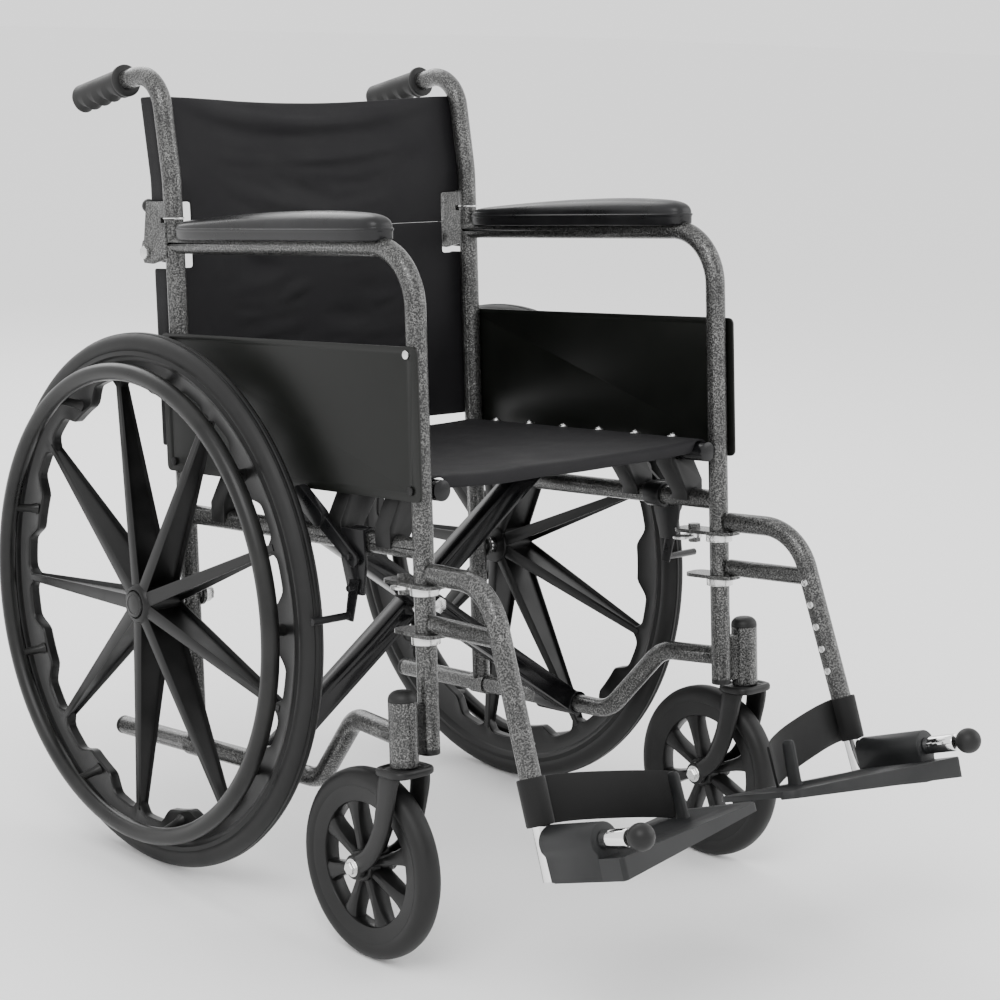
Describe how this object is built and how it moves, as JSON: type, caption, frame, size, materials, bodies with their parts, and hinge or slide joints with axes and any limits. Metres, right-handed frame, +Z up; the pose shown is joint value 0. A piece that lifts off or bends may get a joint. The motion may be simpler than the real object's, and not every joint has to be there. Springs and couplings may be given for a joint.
{
  "type": "manual wheelchair",
  "caption": "Folding manual wheelchair with fixed arms, spoked wheels with handrims, swivelling front casters, fold-down back canes and swing-away footrests.",
  "frame": {"origin": "on the floor, under the middle of the whole chair's box", "axes": "+Z up, the chair faces -Y, and +X is the sitter's left"},
  "size_m": [0.627, 1.0731, 0.9001],
  "materials": {
    "frame_paint": "black enamel with a silver hammered vein",
    "brace_paint": "black gloss enamel",
    "wheel_plastic": "moulded black composite",
    "tyre_rubber": "solid dark grey tyre",
    "black_plastic": "moulded black plastic",
    "grip_rubber": "soft dark grey grip",
    "black_cloth": "coated black nylon",
    "strap_web": "black woven webbing",
    "pad_vinyl": "black moulded armrest skin",
    "panel": "black satin side panel",
    "bright_steel": "zinc plated steel",
    "black_steel": "black coated steel"
  },
  "bodies": {
    "frame_left": {"arm_tube_left": "frame_paint", "rear_post_left": "frame_paint", "side_rails_left": "frame_paint", "caster_housing_left": "frame_paint", "arm_pad_left": "pad_vinyl", "skirt_guard_left": "panel", "lock_base_left": "black_steel", "hardware_left": "bright_steel", "frame_trim_left": "black_plastic", "back_cloth_lower": "black_cloth"},
    "wheel_left": {"rear_wheel_left": "wheel_plastic", "rear_tyre_left": "tyre_rubber", "handrim_left": "wheel_plastic"},
    "swivel_left": {"caster_fork_left": "black_steel"},
    "caster_left": {"caster_wheel_left": "wheel_plastic", "caster_tyre_left": "tyre_rubber"},
    "cane_left": {"back_cane_left": "frame_paint", "hand_grip_left": "grip_rubber", "back_cloth_upper": "black_cloth"},
    "release_left": {"back_release_left": "black_plastic"},
    "lever_left": {"lock_lever_left": "black_steel"},
    "shoe_left": {"lock_shoe_left": "black_steel"},
    "hanger_left": {"footrest_hanger_left": "frame_paint"},
    "latch_left": {"hanger_latch_left": "bright_steel"},
    "foot_left": {"foot_tube_left": "bright_steel", "heel_strap_left": "strap_web"},
    "plate_left": {"footplate_left": "black_plastic"},
    "knob_left": {"pull_knob_left": "black_plastic"},
    "frame_right": {"arm_tube_right": "frame_paint", "rear_post_right": "frame_paint", "side_rails_right": "frame_paint", "caster_housing_right": "frame_paint", "arm_pad_right": "pad_vinyl", "skirt_guard_right": "panel", "lock_base_right": "black_steel", "hardware_right": "bright_steel", "frame_trim_right": "black_plastic"},
    "wheel_right": {"rear_wheel_right": "wheel_plastic", "rear_tyre_right": "tyre_rubber", "handrim_right": "wheel_plastic"},
    "swivel_right": {"caster_fork_right": "black_steel"},
    "caster_right": {"caster_wheel_right": "wheel_plastic", "caster_tyre_right": "tyre_rubber"},
    "cane_right": {"back_cane_right": "frame_paint", "hand_grip_right": "grip_rubber"},
    "release_right": {"back_release_right": "black_plastic"},
    "lever_right": {"lock_lever_right": "black_steel"},
    "shoe_right": {"lock_shoe_right": "black_steel"},
    "hanger_right": {"footrest_hanger_right": "frame_paint"},
    "latch_right": {"hanger_latch_right": "bright_steel"},
    "foot_right": {"foot_tube_right": "bright_steel", "heel_strap_right": "strap_web"},
    "plate_right": {"footplate_right": "black_plastic"},
    "knob_right": {"pull_knob_right": "black_plastic"},
    "brace_1": {"brace_from_left": "brace_paint", "cross_bolt": "bright_steel", "seat_cloth": "black_cloth"},
    "brace_2": {"brace_from_right": "brace_paint"}
  },
  "joints": [
    {"name": "frame_fold", "type": "hinge", "parent": "frame_left", "child": "brace_1", "pos_m": [0.22, 0.06979, 0.14198], "axis": [0, 0.9962, -0.0872], "range_deg": [0, 42], "deforming": ["seat_cloth", "back_cloth_lower", "back_cloth_upper"]},
    {"name": "brace_cross", "type": "hinge", "parent": "brace_1", "child": "brace_2", "pos_m": [0, 0.08321, 0.29545], "axis": [0, 0.9962, -0.0872], "range_deg": [-84, 0]},
    {"name": "frame_close", "type": "hinge", "parent": "brace_2", "child": "frame_right", "pos_m": [-0.22, 0.06979, 0.14198], "axis": [0, 0.9962, -0.0872], "range_deg": [0, 42]},
    {"name": "rear_wheel_spin_left", "type": "hinge", "parent": "frame_left", "child": "wheel_left", "pos_m": [0.2715, 0.23161, 0.305], "axis": [1, 0, 0], "continuous": true},
    {"name": "caster_swivel_left", "type": "hinge", "parent": "frame_left", "child": "swivel_left", "pos_m": [0.2565, -0.19485, 0.2495], "axis": [0, 0.0872, 0.9962], "continuous": true},
    {"name": "caster_spin_left", "type": "hinge", "parent": "swivel_left", "child": "caster_left", "pos_m": [0.2565, -0.14857, 0.1015], "axis": [1, 0, 0], "continuous": true},
    {"name": "back_fold_left", "type": "hinge", "parent": "frame_left", "child": "cane_left", "pos_m": [0.22, 0.30363, 0.6922], "axis": [-1, 0, 0], "range_deg": [0, 90]},
    {"name": "release_press_left", "type": "hinge", "parent": "cane_left", "child": "release_left", "pos_m": [0.22, 0.30339, 0.73538], "axis": [-1, 0, 0], "range_deg": [0, 20], "stiffness_Nm_per_rad": 0.3},
    {"name": "lock_lever_turn_left", "type": "hinge", "parent": "frame_left", "child": "lever_left", "pos_m": [0.2415, -0.08609, 0.41411], "axis": [1, 0, 0], "range_deg": [0, 60]},
    {"name": "lock_shoe_turn_left", "type": "hinge", "parent": "frame_left", "child": "shoe_left", "pos_m": [0.238, -0.08897, 0.38123], "axis": [1, 0, 0], "range_deg": [0, 10]},
    {"name": "footrest_swing_left", "type": "hinge", "parent": "frame_left", "child": "hanger_left", "pos_m": [0.22, -0.17988, 0.38617], "axis": [0, 0.0872, 0.9962], "range_deg": [0, 90]},
    {"name": "hanger_latch_turn_left", "type": "hinge", "parent": "hanger_left", "child": "latch_left", "pos_m": [0.21718, -0.14313, 0.3945], "axis": [0, -0.0872, -0.9962], "range_deg": [0, 30], "stiffness_Nm_per_rad": 0.2},
    {"name": "footrest_length_left", "type": "slide", "parent": "hanger_left", "child": "foot_left", "axis": [0.0236, -0.3818, -0.924], "range_m": [0, 0.075]},
    {"name": "footplate_flip_left", "type": "hinge", "parent": "foot_left", "child": "plate_left", "pos_m": [0.23841, -0.43074, 0.20243], "axis": [-0.0761, 0.9425, -0.3253], "range_deg": [0, 86], "deforming": ["heel_strap_left"]},
    {"name": "knob_pull_left", "type": "slide", "parent": "foot_left", "child": "knob_left", "axis": [0.0761, -0.9425, 0.3253], "range_m": [0, 0.008], "stiffness_N_per_m": 600},
    {"name": "rear_wheel_spin_right", "type": "hinge", "parent": "frame_right", "child": "wheel_right", "pos_m": [-0.2715, 0.23161, 0.305], "axis": [1, 0, 0], "continuous": true},
    {"name": "caster_swivel_right", "type": "hinge", "parent": "frame_right", "child": "swivel_right", "pos_m": [-0.2565, -0.19485, 0.2495], "axis": [0, 0.0872, 0.9962], "continuous": true},
    {"name": "caster_spin_right", "type": "hinge", "parent": "swivel_right", "child": "caster_right", "pos_m": [-0.2565, -0.14857, 0.1015], "axis": [1, 0, 0], "continuous": true},
    {"name": "back_fold_right", "type": "hinge", "parent": "frame_right", "child": "cane_right", "pos_m": [-0.22, 0.30363, 0.6922], "axis": [-1, 0, 0], "range_deg": [0, 90]},
    {"name": "release_press_right", "type": "hinge", "parent": "cane_right", "child": "release_right", "pos_m": [-0.22, 0.30339, 0.73538], "axis": [-1, 0, 0], "range_deg": [0, 20], "stiffness_Nm_per_rad": 0.3},
    {"name": "lock_lever_turn_right", "type": "hinge", "parent": "frame_right", "child": "lever_right", "pos_m": [-0.2415, -0.08609, 0.41411], "axis": [1, 0, 0], "range_deg": [0, 60]},
    {"name": "lock_shoe_turn_right", "type": "hinge", "parent": "frame_right", "child": "shoe_right", "pos_m": [-0.238, -0.08897, 0.38123], "axis": [1, 0, 0], "range_deg": [0, 10]},
    {"name": "footrest_swing_right", "type": "hinge", "parent": "frame_right", "child": "hanger_right", "pos_m": [-0.22, -0.17988, 0.38617], "axis": [0, -0.0872, -0.9962], "range_deg": [0, 90]},
    {"name": "hanger_latch_turn_right", "type": "hinge", "parent": "hanger_right", "child": "latch_right", "pos_m": [-0.21718, -0.14313, 0.3945], "axis": [0, 0.0872, 0.9962], "range_deg": [0, 30], "stiffness_Nm_per_rad": 0.2},
    {"name": "footrest_length_right", "type": "slide", "parent": "hanger_right", "child": "foot_right", "axis": [-0.0236, -0.3818, -0.924], "range_m": [0, 0.075]},
    {"name": "footplate_flip_right", "type": "hinge", "parent": "foot_right", "child": "plate_right", "pos_m": [-0.23841, -0.43074, 0.20243], "axis": [-0.0761, -0.9425, 0.3253], "range_deg": [0, 86], "deforming": ["heel_strap_right"]},
    {"name": "knob_pull_right", "type": "slide", "parent": "foot_right", "child": "knob_right", "axis": [-0.0761, -0.9425, 0.3253], "range_m": [0, 0.008], "stiffness_N_per_m": 600}
  ],
  "couplings": [
    {"joint": "brace_cross", "follows": "frame_fold", "ratio": -2},
    {"joint": "frame_close", "follows": "frame_fold", "ratio": 1},
    {"joint": "lock_shoe_turn_left", "follows": "lock_lever_turn_left", "ratio": 0.16667},
    {"joint": "footplate_flip_left", "follows": "frame_fold", "ratio": 2.0476},
    {"joint": "lock_shoe_turn_right", "follows": "lock_lever_turn_right", "ratio": 0.16667},
    {"joint": "footplate_flip_right", "follows": "frame_fold", "ratio": 2.0476},
    {"joint": "back_fold_right", "follows": "back_fold_left", "ratio": 1}
  ]
}
